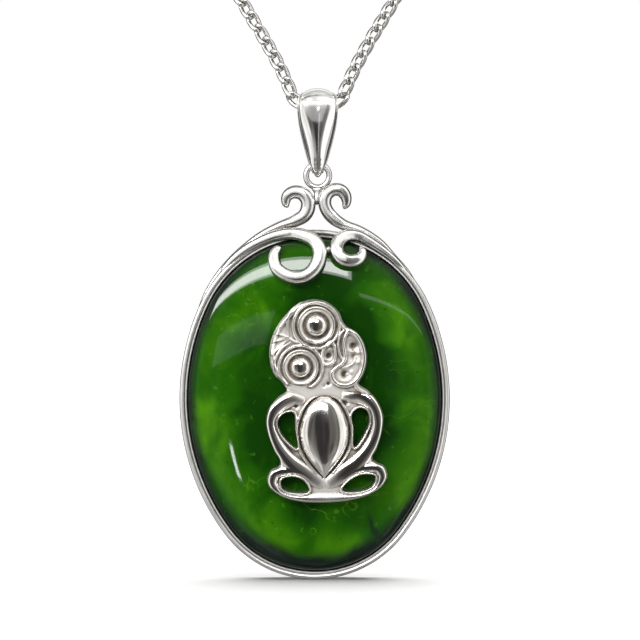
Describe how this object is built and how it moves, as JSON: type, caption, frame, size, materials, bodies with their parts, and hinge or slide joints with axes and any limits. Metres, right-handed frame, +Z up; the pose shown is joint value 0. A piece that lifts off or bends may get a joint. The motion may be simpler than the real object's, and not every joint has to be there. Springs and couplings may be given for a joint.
{
  "type": "hei tiki pendant necklace",
  "caption": "Oval pendant on a curb chain: a domed green stone in a metal setting with scrolls, a cast standing figure on its face, a ring and a drop-shaped bail.",
  "frame": {"origin": "middle of the clasp at the nape, the top of the hanging loop, where the neck holds it", "axes": "+Z up, the pendant hangs below the origin; the front of the pendant faces -Y; +X is to the viewer's right"},
  "size_m": [0.1194, 0.0092, 0.2342],
  "materials": {
    "chain_silver": "polished silver wire links",
    "clasp_silver": "polished silver",
    "bail_silver": "mirror-polished silver",
    "setting_silver": "polished silver, a little uneven and darker in its corners",
    "green_stone": "glossy cabochon polish, mottled green, darker to the edge",
    "figure_silver": "polished cast silver, dark in its grooves"
  },
  "bodies": {
    "necklace": {"chain": "chain_silver", "clasp": "clasp_silver", "clasp_ring_left": "clasp_silver", "clasp_ring_right": "clasp_silver"},
    "bail": {"bail": "bail_silver"},
    "pendant": {"setting": "setting_silver", "stone": "green_stone", "tiki": "figure_silver"}
  },
  "joints": [
    {"name": "bail_swing", "type": "hinge", "parent": "necklace", "child": "bail", "pos_m": [0, 0, -0.175], "axis": [1, 0, 0], "range_deg": [-45, 45]},
    {"name": "pendant_swing", "type": "hinge", "parent": "bail", "child": "pendant", "pos_m": [0, 0, -0.1822], "axis": [1, 0, 0], "range_deg": [-60, 60]}
  ]
}
